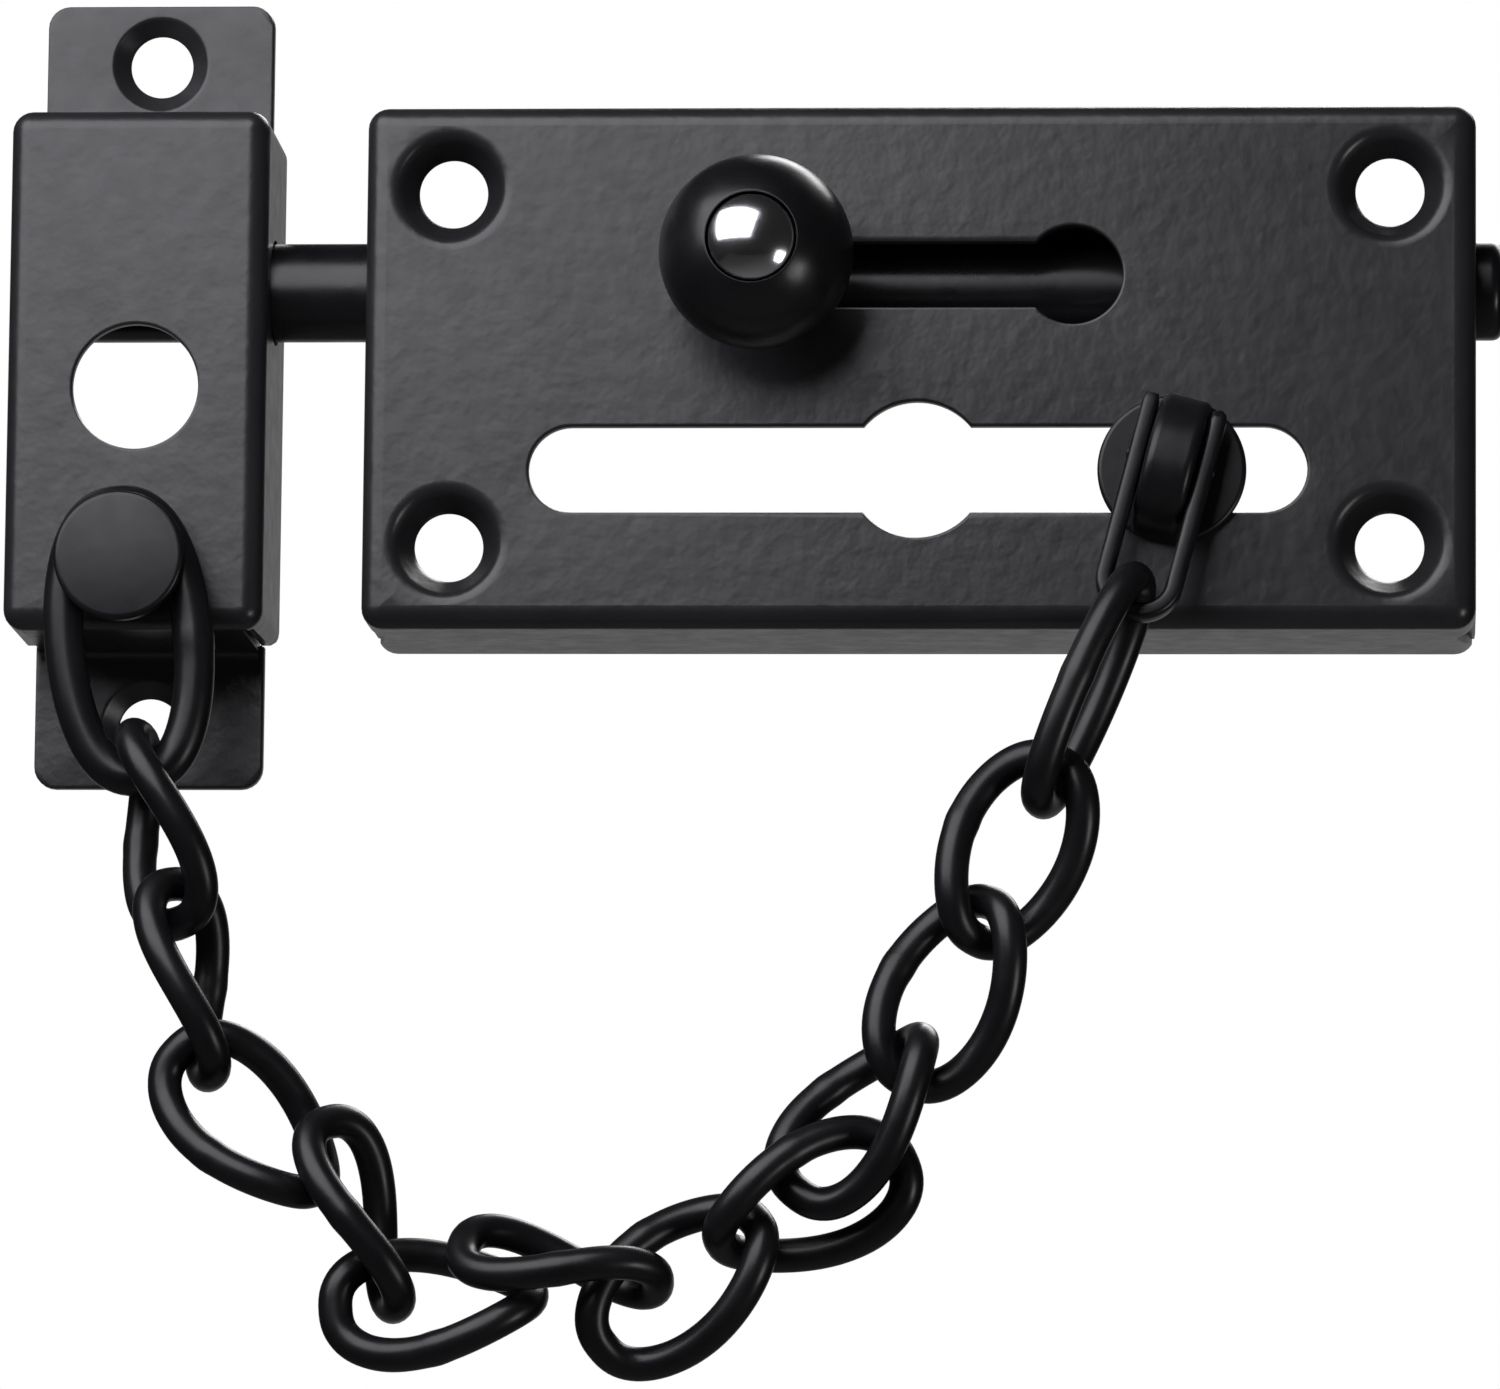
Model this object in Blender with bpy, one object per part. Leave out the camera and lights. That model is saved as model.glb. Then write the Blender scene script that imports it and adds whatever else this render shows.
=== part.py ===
"""Barrel bolt with a door chain: folded case, strike box, bolt rod with a push-button knob, chain.

Frame: +X along the bolt, to the hinge side of the door; +Y into the door; +Z up. The origin is the
middle of the case's open back, which lies on the door. Sizes are in millimetres and are turned into
metres once, when each mesh is made. The bolt is thrown and the chain hangs from slider to stud.
"""

from math import acos, cos, pi, radians, sin

import bmesh
import bpy
from mathutils import Matrix, Vector

MM = 0.001
GAP = 0.3  # between pieces that touch on the real object

# Case and strike box, folded from the same sheet.
SHEET = 1.5
BEND = 1.4  # outer radius of a fold
CASE_WIDTH, CASE_HEIGHT, CASE_DEPTH = 105.0, 50.0, 18.0
CASE_FRONT = -CASE_DEPTH
STRIKE_X = -74.3
STRIKE_WIDTH, STRIKE_DEPTH = 24.7, 17.0
STRIKE_FRONT = -STRIKE_DEPTH
FLAP_END = -0.5  # the strike's side flaps stop just short of the frame
FLANGE_WIDTH, FLANGE_TOP, FLANGE_CORNER = 22.0, 38.2, 1.8

# Screw holes, pressed into dimples.
CASE_SCREW_X, CASE_SCREW_Z = 44.4, 17.0
FLANGE_SCREW_Z = 32.4
SCREW_HOLE, SCREW_SINK, DIMPLE = 3.2, 4.9, 2.0
BOSS_WIDE, BOSS_NARROW = 6.1, 4.9  # the dimple's back, inside the case
FLANGE_HOLE, FLANGE_SINK = 3.0, 4.6

# Bolt rod and its knob. The knob stands at the left end of the keyhole slot.
ROD_RADIUS, ROD_Y, ROD_Z = 4.7, -8.7, 8.6
ROD_LEFT, ROD_RIGHT, ROD_CHAMFER = -83.0, 55.0, 1.0
ROD_CLEARANCE = 0.35
STRIKE_HOLE, STRIKE_HOLE_Z = 6.0, -1.8
KNOB_X, KNOB_TRAVEL = -14.6, 29.2
KEYHOLE_WIDTH, KEYHOLE_END = 6.2, 4.7
STEM_RADIUS, STEM_BORE = 2.6, 1.6
SEAT_Y = -11.4  # flat milled into the rod under the collar
SEAT_RADIUS = 4.9
STEM_FOOT_Y = -6.3
BALL_RADIUS, BALL_Y = 9.1, -29.6
BUTTON_RADIUS, BUTTON_WELL_Y = 4.1, -32.8
DOME_EDGE_Y, DOME_RISE, DOME_WALL = -37.3, 1.7, 0.9
SKIRT_END_Y = -35.8
PIN_RADIUS = 1.1
COLLAR_RADIUS, COLLAR_Y, COLLAR_THICK = 4.3, -15.4, 1.2
CROSS_PIN_RADIUS, BUTTON_TRAVEL = 0.5, 2.4
SPRING_RADIUS, SPRING_WIRE, SPRING_TURNS = 2.4, 0.25, 4

# Guide behind the keyhole, a hat section with its lips on the back of the case's face.
GUIDE_REACH, GUIDE_SHEET, GUIDE_HALF, GUIDE_BACK, GUIDE_LIP = 34.0, 1.2, 6.3, -1.6, 3.7

# Chain slot and slider.
SLOT_Z, SLOT_WIDTH, SLOT_END_X, SLOT_DOOR = -10.0, 8.2, 32.6, 6.5
SLIDER_X = 24.0
SLIDER_Z = -10.2
NECK_RADIUS, NECK_BORE, SLIDER_FLANGE, SLIDER_FLANGE_THICK = 3.7, 1.9, 5.9, 1.5
HEAD_RADIUS, HEAD_THICK, LOBE_RADIUS, LOBE_WIDTH = 7.0, 0.9, 6.3, 3.6
STRAP_LEAN = -14.0  # degrees from straight down, towards +X
STRAP_WIRE, STRAP_HALF, STRAP_TOP, STRAP_LENGTH = 1.0, 3.1, 6.0, 15.0
STRAP_PIN, STRAP_EYE, STRAP_PIN_Y = 0.6, 1.5, -22.5
STRAP_TILT = 8.0  # degrees forward of the case's front

# Chain. It comes back towards the door from the strap to the end link, link by link.
CHAIN_FRONT_Y, END_LINK_Y = -24.6, -21.0
WIRE = 1.6
LINK_HALF_LENGTH, LINK_HALF_WIDTH, LINK_TWIST = 9.15, 5.5, 65.0
LONG_HALF_LENGTH, LONG_HALF_WIDTH = 11.3, 5.3
END_WIRE, END_HALF_LENGTH, END_HALF_WIDTH = 1.9, 12.9, 6.1
LINK_STEPS, WIRE_SIDES = 26, 8
LONG_LINK = (16.5, -32.0, -23.0, 78.0)
# Twisted links from the slider's end to the stud's end: centre X and Z, lean from straight down
# towards +X, and roll about the link's own length, in degrees.
TWISTED_LINKS = (
    (9.7, -46.9, -23.0, 12.0),
    (3.6, -60.2, -24.0, -12.0),
    (-4.6, -71.8, -38.0, -41.0),
    (-9.0, -79.7, -66.0, 34.0),
    (-21.2, -87.4, -50.0, -8.0),
    (-32.3, -85.6, -100.0, 100.0),
    (-44.1, -89.2, -86.0, 146.0),
    (-50.9, -80.9, -159.0, 103.0),
    (-61.8, -72.1, -135.0, 152.0),
    (-67.3, -58.9, -168.0, 282.0),
    (-70.8, -44.7, -166.0, 246.0),
)
END_LINK = (-73.9, -26.8, -174.0, 0.0)

# Chain stud on the strike box.
STUD_X, STUD_Z = -74.6, -19.2
STUD_RADIUS, STUD_HOLE, DISC_RADIUS, DISC_THICK = 2.5, 2.8, 6.15, 1.6
WASHER_RADIUS, WASHER_THICK, TAIL_RADIUS, TAIL_THICK = 4.0, 0.8, 3.6, 0.9

SIDES = 40  # facets of a large round face
SMALL_SIDES = 20

FINISHES = {
    # colour, roughness, metallic
    "powder_black": ((0.035, 0.035, 0.038), 0.48, 0.0),
    "chain_black": ((0.012, 0.012, 0.014), 0.36, 0.0),
    "knob_black": ((0.010, 0.010, 0.011), 0.30, 0.0),
    "chrome": ((0.80, 0.80, 0.82), 0.06, 1.0),
    "zinc_steel": ((0.45, 0.45, 0.44), 0.35, 1.0),
}


def clear_scene():
    for obj in list(bpy.data.objects):
        bpy.data.objects.remove(obj, do_unlink=True)


def material(name):
    found = bpy.data.materials.get(name)
    if found:
        return found
    colour, roughness, metallic = FINISHES[name]
    made = bpy.data.materials.new(name)
    made.use_nodes = True
    shader = made.node_tree.nodes["Principled BSDF"]
    shader.inputs["Base Color"].default_value = (*colour, 1.0)
    shader.inputs["Roughness"].default_value = roughness
    shader.inputs["Metallic"].default_value = metallic
    return made


def place(name, shape, at, finish, smooth=True):
    """An object from a bmesh whose coordinates are millimetres in the frame, with its origin at `at`."""
    bmesh.ops.translate(shape, vec=-Vector(at), verts=shape.verts)
    bmesh.ops.scale(shape, vec=(MM, MM, MM), verts=shape.verts)
    bmesh.ops.recalc_face_normals(shape, faces=shape.faces)
    mesh = bpy.data.meshes.new(name)
    shape.to_mesh(mesh)
    shape.free()
    if smooth:
        mesh.shade_smooth()
        mesh.set_sharp_from_angle(angle=radians(35))
    obj = bpy.data.objects.new(name, mesh)
    obj.location = Vector(at) * MM
    bpy.context.scene.collection.objects.link(obj)
    if finish:
        mesh.materials.append(material(finish))
    return obj


def cutter(name, shape):
    obj = place(name, shape, (0, 0, 0), None, smooth=False)
    obj.hide_render = True
    obj.display_type = "WIRE"
    return obj


def combine(obj, other, operation):
    step = obj.modifiers.new(other.name, "BOOLEAN")
    step.operation = operation
    step.solver = "EXACT"
    step.object = other


def cut(obj, name, shape):
    combine(obj, cutter(name, shape), "DIFFERENCE")


def join(obj, name, shape):
    combine(obj, cutter(name, shape), "UNION")


def box(low, high):
    """A box between two corners."""
    shape = bmesh.new()
    bmesh.ops.create_cube(shape, size=1.0)
    size = Vector(high) - Vector(low)
    bmesh.ops.scale(shape, vec=size, verts=shape.verts)
    bmesh.ops.translate(shape, vec=Vector(low) + size / 2, verts=shape.verts)
    return shape


def rings_about(shape, profile, centre, axis, sides):
    """One ring of vertices for each (distance along the axis, radius) point."""
    rings = []
    for along, radius in profile:
        ring = []
        for k in range(sides):
            a = 2 * pi * (k + 0.5) / sides
            u, v = radius * cos(a), radius * sin(a)
            spot = {"X": (along, u, v), "Y": (v, along, u), "Z": (u, v, along)}[axis]
            ring.append(shape.verts.new(Vector(spot) + Vector(centre)))
        rings.append(ring)
    return rings


def bridge(shape, first, second):
    for k in range(len(first)):
        n = (k + 1) % len(first)
        shape.faces.new((first[k], first[n], second[n], second[k]))


def turned(profile, centre, axis="Y", sides=SIDES):
    """A solid of revolution with flat ends at the profile's first and last points."""
    shape = bmesh.new()
    rings = rings_about(shape, profile, centre, axis, sides)
    for first, second in zip(rings, rings[1:]):
        bridge(shape, first, second)
    shape.faces.new(rings[0])
    shape.faces.new(rings[-1])
    return shape


def tube(profile, centre, axis="Y", sides=SIDES):
    """A ring of revolution, whose profile runs round its section and closes on itself."""
    shape = bmesh.new()
    rings = rings_about(shape, profile, centre, axis, sides)
    for first, second in zip(rings, rings[1:] + rings[:1]):
        bridge(shape, first, second)
    return shape


def slot(half_length, half_width, low_y, high_y, centre_x, centre_z, end_steps=10):
    """A prism along Y whose outline has straight sides and round ends."""
    shape = bmesh.new()
    outline = []
    for side in (1, -1):
        for k in range(end_steps + 1):
            a = pi * k / end_steps - pi / 2
            outline.append((side * (half_length + half_width * cos(a)), side * half_width * sin(a)))
    near = [shape.verts.new((centre_x + x, low_y, centre_z + z)) for x, z in outline]
    far = [shape.verts.new((centre_x + x, high_y, centre_z + z)) for x, z in outline]
    bridge(shape, near, far)
    shape.faces.new(near)
    shape.faces.new(far)
    return shape


def folded_box(low, high, rim):
    """A sheet-metal box, open on +Y, whose front edges and corners are folded round."""
    outer = box(low, high)
    front = [e for e in outer.edges if all(v.co.y < low[1] + 0.01 for v in e.verts)]
    corners = [e for e in outer.edges if abs(e.verts[0].co.y - e.verts[1].co.y) > 1]
    bmesh.ops.bevel(outer, geom=front + corners, offset=BEND, segments=3, profile=0.5, affect="EDGES")
    inner = box(
        (low[0] + SHEET, low[1] + SHEET, low[2] + SHEET),
        (high[0] - SHEET, rim + 5.0, high[2] - SHEET),
    )
    return outer, inner


def build_case():
    half_x, half_z = CASE_WIDTH / 2, CASE_HEIGHT / 2
    outer, inner = folded_box((-half_x, CASE_FRONT, -half_z), (half_x, 0.0, half_z), 0.0)
    case = place("case_cover", outer, (0, 0, 0), "powder_black")
    cut(case, "case_hollow", inner)
    inside = CASE_FRONT + SHEET
    for side_x in (-1, 1):
        for side_z in (-1, 1):
            where = (side_x * CASE_SCREW_X, 0.0, side_z * CASE_SCREW_Z)
            name = f"{'right' if side_x > 0 else 'left'}_{'top' if side_z > 0 else 'bottom'}"
            back = CASE_FRONT + DIMPLE + SHEET
            boss = ((CASE_FRONT + SHEET / 2, BOSS_WIDE), (inside, BOSS_WIDE), (back, BOSS_NARROW))
            join(case, f"boss_{name}", turned(boss, where, sides=SMALL_SIDES))
            cone = ((CASE_FRONT - 1.0, SCREW_SINK), (CASE_FRONT, SCREW_SINK),
                    (CASE_FRONT + DIMPLE, SCREW_HOLE), (back + 1.0, SCREW_HOLE))
            cut(case, f"screw_{name}", turned(cone, where, sides=24))
    through = (CASE_FRONT - 2.0, inside + 2.0)
    reach = KNOB_TRAVEL / 2
    cut(case, "keyhole_run", box((-reach, through[0], ROD_Z - KEYHOLE_WIDTH / 2),
                                 (reach, through[1], ROD_Z + KEYHOLE_WIDTH / 2)))
    for end in (-reach, reach):
        round_end = ((through[0], KEYHOLE_END), (through[1], KEYHOLE_END))
        name = f"keyhole_end_{'right' if end > 0 else 'left'}"
        cut(case, name, turned(round_end, (end, 0, ROD_Z), sides=24))
    cut(case, "chain_slot", slot(SLOT_END_X, SLOT_WIDTH / 2, *through, 0.0, SLOT_Z))
    door = turned(((through[0], SLOT_DOOR), (through[1], SLOT_DOOR)), (0, 0, SLOT_Z), sides=24)
    cut(case, "chain_slot_door", door)
    way = ROD_RADIUS + ROD_CLEARANCE
    cut(case, "rod_way", turned(((-half_x - 2, way), (half_x + 2, way)), (0, ROD_Y, ROD_Z), "X", sides=32))


def build_guide():
    """A folded channel behind the keyhole, which the rod slides in."""
    front = CASE_FRONT + SHEET + GAP
    lip, floor = front + GUIDE_SHEET, GUIDE_BACK - GUIDE_SHEET
    inner, outer = GUIDE_HALF - GUIDE_SHEET, GUIDE_HALF + GUIDE_LIP
    upper = ((floor, inner), (front, inner), (front, outer), (lip, outer), (lip, GUIDE_HALF),
             (GUIDE_BACK, GUIDE_HALF))
    section = upper + tuple((y, -z) for y, z in reversed(upper))
    shape = bmesh.new()
    near = [shape.verts.new((-GUIDE_REACH, y, ROD_Z + z)) for y, z in section]
    far = [shape.verts.new((GUIDE_REACH, y, ROD_Z + z)) for y, z in section]
    bridge(shape, near, far)
    shape.faces.new(near)
    shape.faces.new(far)
    place("rod_guide", shape, (0, 0, ROD_Z), "powder_black")


def flange(side):
    """One screw flange of the strike box, as a plate with rounded outer corners."""
    low = (STRIKE_X - FLANGE_WIDTH / 2, -SHEET, CASE_HEIGHT / 2 - SHEET)
    high = (STRIKE_X + FLANGE_WIDTH / 2, 0.0, FLANGE_TOP)
    plate = box(low, high)
    outer = [e for e in plate.edges if all(v.co.z > FLANGE_TOP - 0.1 for v in e.verts)
             and abs(e.verts[0].co.y - e.verts[1].co.y) > 0.5]
    bmesh.ops.bevel(plate, geom=outer, offset=FLANGE_CORNER, segments=4, profile=0.5, affect="EDGES")
    if side < 0:
        bmesh.ops.scale(plate, vec=(1, 1, -1), verts=plate.verts)
    return plate


def build_strike():
    half_x, half_z = STRIKE_WIDTH / 2, CASE_HEIGHT / 2
    outer, inner = folded_box(
        (STRIKE_X - half_x, STRIKE_FRONT, -half_z), (STRIKE_X + half_x, FLAP_END, half_z), FLAP_END)
    strike = place("strike_box", outer, (0, 0, 0), "powder_black")
    cut(strike, "strike_hollow", inner)
    for side in (1, -1):
        name = "top" if side > 0 else "bottom"
        join(strike, f"flange_{name}", flange(side))
        where = (STRIKE_X, 0.0, side * FLANGE_SCREW_Z)
        cone = ((-SHEET - 1.0, FLANGE_SINK + 1.0), (-SHEET, FLANGE_SINK), (0.0, FLANGE_HOLE),
                (1.0, FLANGE_HOLE))
        cut(strike, f"flange_hole_{name}", turned(cone, where, sides=24))
    through = (STRIKE_FRONT - 2.0, STRIKE_FRONT + SHEET + 2.0)
    face_hole = turned(((through[0], STRIKE_HOLE), (through[1], STRIKE_HOLE)),
                       (STRIKE_X, 0, STRIKE_HOLE_Z), sides=32)
    cut(strike, "face_hole", face_hole)
    stud_hole = turned(((through[0], STUD_HOLE), (through[1], STUD_HOLE)), (STUD_X, 0, STUD_Z), sides=24)
    cut(strike, "stud_hole", stud_hole)
    way = ROD_RADIUS + ROD_CLEARANCE
    rod_way = turned(((STRIKE_X, way), (STRIKE_X + half_x + 2, way)), (0, ROD_Y, ROD_Z), "X", sides=32)
    cut(strike, "strike_rod_way", rod_way)


def build_stud():
    inside = STRIKE_FRONT + SHEET
    disc_back = END_LINK_Y - END_WIRE - GAP
    washer_y = inside + GAP
    tail_y = washer_y + WASHER_THICK + GAP
    edge = 0.35
    profile = (
        (disc_back - DISC_THICK, DISC_RADIUS - edge),
        (disc_back - DISC_THICK + edge, DISC_RADIUS),
        (disc_back, DISC_RADIUS),
        (disc_back, STUD_RADIUS),
        (tail_y, STUD_RADIUS),
        (tail_y, TAIL_RADIUS),
        (tail_y + TAIL_THICK, TAIL_RADIUS - 1.0),
    )
    place("chain_stud", turned(profile, (STUD_X, 0, STUD_Z)), (STUD_X, disc_back, STUD_Z), "powder_black")
    ring = ((washer_y, STUD_HOLE), (washer_y, WASHER_RADIUS), (washer_y + WASHER_THICK, WASHER_RADIUS),
            (washer_y + WASHER_THICK, STUD_HOLE))
    washer = tube(ring, (STUD_X, 0, STUD_Z), sides=24)
    place("stud_washer", washer, (STUD_X, washer_y, STUD_Z), "zinc_steel")


def build_bolt():
    profile = (
        (ROD_LEFT, ROD_RADIUS - ROD_CHAMFER),
        (ROD_LEFT + ROD_CHAMFER, ROD_RADIUS),
        (ROD_RIGHT - ROD_CHAMFER, ROD_RADIUS),
        (ROD_RIGHT, ROD_RADIUS - ROD_CHAMFER),
    )
    rod = place("bolt_rod", turned(profile, (0, ROD_Y, ROD_Z), "X", sides=32), (KNOB_X, ROD_Y, ROD_Z),
                "knob_black")
    at = (KNOB_X, 0, ROD_Z)
    cut(rod, "collar_seat", turned(((CASE_FRONT, SEAT_RADIUS), (SEAT_Y, SEAT_RADIUS)), at, sides=24))
    hole = STEM_RADIUS + GAP
    cut(rod, "stem_hole", turned(((CASE_FRONT, hole), (STEM_FOOT_Y + GAP, hole)), at, sides=SMALL_SIDES))


def build_knob():
    where = (KNOB_X, 0, ROD_Z)
    stem_top = BUTTON_WELL_Y + GAP
    stem = tube(((stem_top, STEM_BORE), (stem_top, STEM_RADIUS), (STEM_FOOT_Y, STEM_RADIUS),
                 (STEM_FOOT_Y, STEM_BORE)), where, sides=SMALL_SIDES)
    stem = place("knob_stem", stem, (KNOB_X, ROD_Y, ROD_Z), "zinc_steel")
    reach = CROSS_PIN_RADIUS + GAP
    window = box((KNOB_X - reach, COLLAR_Y - reach, ROD_Z - 4),
                 (KNOB_X + reach, COLLAR_Y + BUTTON_TRAVEL + reach, ROD_Z + 4))
    cut(stem, "stem_window", window)

    well = BUTTON_RADIUS + GAP
    lip = BALL_Y - (BALL_RADIUS**2 - well**2) ** 0.5
    foot = BALL_Y + (BALL_RADIUS**2 - (STEM_RADIUS + 1.0) ** 2) ** 0.5
    steps = 18
    start = (lip - BALL_Y) / BALL_RADIUS
    end = (foot - BALL_Y) / BALL_RADIUS
    profile = []
    for k in range(steps + 1):
        a = arc(start, end, k / steps)
        profile.append((BALL_Y - BALL_RADIUS * cos(a), BALL_RADIUS * sin(a)))
    bore = STEM_RADIUS + GAP
    profile += [(foot, bore), (BUTTON_WELL_Y, bore), (BUTTON_WELL_Y, well)]
    place("knob_ball", tube(profile, where, sides=36), (KNOB_X, BALL_Y, ROD_Z), "knob_black")


def arc(start, end, share):
    """The angle from the front pole at this share of the way between two heights on a unit ball."""
    low, high = acos(-start), acos(-end)
    return low + (high - low) * share


def build_button():
    where = (KNOB_X, 0, ROD_Z)
    dome = (BUTTON_RADIUS**2 + DOME_RISE**2) / (2 * DOME_RISE)
    pole = DOME_EDGE_Y - DOME_RISE
    profile = []
    for radius in (0.4, 1.4, 2.4, 3.3, BUTTON_RADIUS):
        profile.append((pole + dome - (dome**2 - radius**2) ** 0.5, radius))
    profile.append((SKIRT_END_Y, BUTTON_RADIUS))
    profile.append((SKIRT_END_Y, BUTTON_RADIUS - DOME_WALL))
    inner = DOME_EDGE_Y + 0.3
    profile += [(inner, BUTTON_RADIUS - DOME_WALL), (inner, 0.4)]
    place("push_button", turned(profile, where, sides=32), (KNOB_X, DOME_EDGE_Y, ROD_Z), "chrome")
    pin = turned(((inner + GAP, PIN_RADIUS), (COLLAR_Y + 1.4, PIN_RADIUS)), where, sides=16)
    pin = place("button_pin", pin, (KNOB_X, DOME_EDGE_Y, ROD_Z), "zinc_steel")
    hole = CROSS_PIN_RADIUS + 0.15
    bore = turned(((ROD_Z - 4, hole), (ROD_Z + 4, hole)), (KNOB_X, COLLAR_Y, 0), "Z", sides=12)
    cut(pin, "pin_cross_hole", bore)
    half = COLLAR_THICK / 2
    inner_radius = STEM_RADIUS + GAP
    ring = tube(((COLLAR_Y - half, inner_radius), (COLLAR_Y - half, COLLAR_RADIUS),
                 (COLLAR_Y + half, COLLAR_RADIUS), (COLLAR_Y + half, inner_radius)), where, sides=32)
    collar = place("lock_collar", ring, (KNOB_X, COLLAR_Y, ROD_Z), "zinc_steel")
    across = turned(((ROD_Z - 3.7, CROSS_PIN_RADIUS), (ROD_Z + 3.7, CROSS_PIN_RADIUS)),
                   (KNOB_X, COLLAR_Y, 0), "Z", sides=12)
    socket = CROSS_PIN_RADIUS + 0.07
    cut(collar, "collar_cross_hole",
        turned(((ROD_Z - 3.9, socket), (ROD_Z + 3.9, socket)), (KNOB_X, COLLAR_Y, 0), "Z", sides=12))
    place("cross_pin", across, (KNOB_X, COLLAR_Y, ROD_Z), "zinc_steel")


def swept(points, radius, sides, closed):
    """A round wire along a line of points, with a frame that is carried along without spinning."""
    shape = bmesh.new()
    count = len(points)
    rings = []
    across = None
    for i, spot in enumerate(points):
        after = points[(i + 1) % count] if closed or i < count - 1 else spot
        before = points[i - 1] if closed or i > 0 else spot
        along = (after - before).normalized()
        if across is None:
            across = along.orthogonal()
        across = (across - along * across.dot(along)).normalized()
        other = along.cross(across)
        rings.append([shape.verts.new(spot + radius * (across * cos(a) + other * sin(a)))
                      for a in (2 * pi * k / sides for k in range(sides))])
    last = len(rings) if closed else len(rings) - 1
    for i in range(last):
        first, second = rings[i], rings[(i + 1) % count]
        shift = nearest_turn(first, second) if i == count - 1 else 0
        for k in range(sides):
            n = (k + 1) % sides
            shape.faces.new(
                (first[k], first[n], second[(n + shift) % sides], second[(k + shift) % sides]))
    if not closed:
        shape.faces.new(rings[0])
        shape.faces.new(rings[-1])
    return shape


def nearest_turn(first, second):
    """How many places the second ring is turned against the first, where a closed sweep meets itself."""
    sides = len(first)

    def span(shift):
        return sum((first[k].co - second[(k + shift) % sides].co).length for k in range(sides))

    return min(range(sides), key=span)


def build_spring():
    """The button's return spring, between the ball's well and the dome."""
    low = BUTTON_WELL_Y - SPRING_WIRE - 0.1
    high = DOME_EDGE_Y + 0.3 + SPRING_WIRE + 0.1
    steps = 12 * SPRING_TURNS
    points = []
    for k in range(steps + 1):
        a = 2 * pi * SPRING_TURNS * k / steps
        y = low + (high - low) * k / steps
        points.append(Vector((KNOB_X + SPRING_RADIUS * cos(a), y, ROD_Z + SPRING_RADIUS * sin(a))))
    place("button_spring", swept(points, SPRING_WIRE, 6, False), (KNOB_X, low, ROD_Z), "zinc_steel")


def build_slider():
    where = (SLIDER_X, 0, SLIDER_Z)
    flange_front = CASE_FRONT + SHEET + GAP
    neck_front = CASE_FRONT
    profile = ((neck_front, NECK_RADIUS), (flange_front, NECK_RADIUS), (flange_front, SLIDER_FLANGE),
               (flange_front + SLIDER_FLANGE_THICK, SLIDER_FLANGE))
    button = place("slider_button", turned(profile, where, sides=32), (SLIDER_X, CASE_FRONT, SLIDER_Z),
                   "powder_black")
    bore = turned(((neck_front - 1.0, NECK_BORE), (flange_front + SLIDER_FLANGE_THICK + 1.0, NECK_BORE)),
                  where, sides=16)
    cut(button, "neck_bore", bore)


def strap_frame():
    """Directions down along the strap and across it, in the frame."""
    lean, tilt = radians(STRAP_LEAN), radians(STRAP_TILT)
    along = Vector((sin(lean) * cos(tilt), -sin(tilt), -cos(lean) * cos(tilt)))
    return along, Vector((cos(lean), 0, sin(lean)))


def build_head():
    across = strap_frame()[1]
    centre = Vector((SLIDER_X, 0, SLIDER_Z))
    disc_back = CASE_FRONT - GAP
    disc_front = disc_back - HEAD_THICK
    spigot_end = CASE_FRONT + SHEET + GAP
    spigot = NECK_BORE - GAP
    profile = ((disc_front, HEAD_RADIUS - 0.4), (disc_front + 0.4, HEAD_RADIUS), (disc_back, HEAD_RADIUS),
               (disc_back, spigot), (spigot_end, spigot))
    head = place("slider_head", turned(profile, centre, sides=SIDES), (SLIDER_X, STRAP_PIN_Y, SLIDER_Z),
                 "powder_black")
    side, edge = LOBE_WIDTH / 2, 0.5
    profile = ((-side, LOBE_RADIUS - edge), (-side + edge, LOBE_RADIUS), (side - edge, LOBE_RADIUS),
               (side, LOBE_RADIUS - edge))
    lobe = turned(profile, (0, 0, 0), "X", sides=SIDES)
    turn = Matrix.Rotation(-radians(STRAP_LEAN), 4, "Y")
    bmesh.ops.transform(lobe, matrix=turn, verts=lobe.verts)
    bmesh.ops.translate(lobe, vec=centre + Vector((0, disc_front + 0.4, 0)), verts=lobe.verts)
    join(head, "lobe", trimmed(lobe, disc_front + 0.4))
    pin = centre + Vector((0, STRAP_PIN_Y, 0))
    cut(head, "lobe_pin_hole", rod_between(pin - across * 4, pin + across * 4, STRAP_PIN + GAP, 12))


def trimmed(shape, plane):
    """The shape with everything behind this Y cut off and the cut closed."""
    geom = shape.verts[:] + shape.edges[:] + shape.faces[:]
    made = bmesh.ops.bisect_plane(
        shape, geom=geom, plane_co=(0, plane, 0), plane_no=(0, 1, 0), clear_outer=True)
    edges = [e for e in made["geom_cut"] if isinstance(e, bmesh.types.BMEdge)]
    bmesh.ops.contextual_create(shape, geom=edges)
    return shape


def rod_between(start, end, radius, sides):
    return swept([start, (start + end) / 2, end], radius, sides, False)


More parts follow.
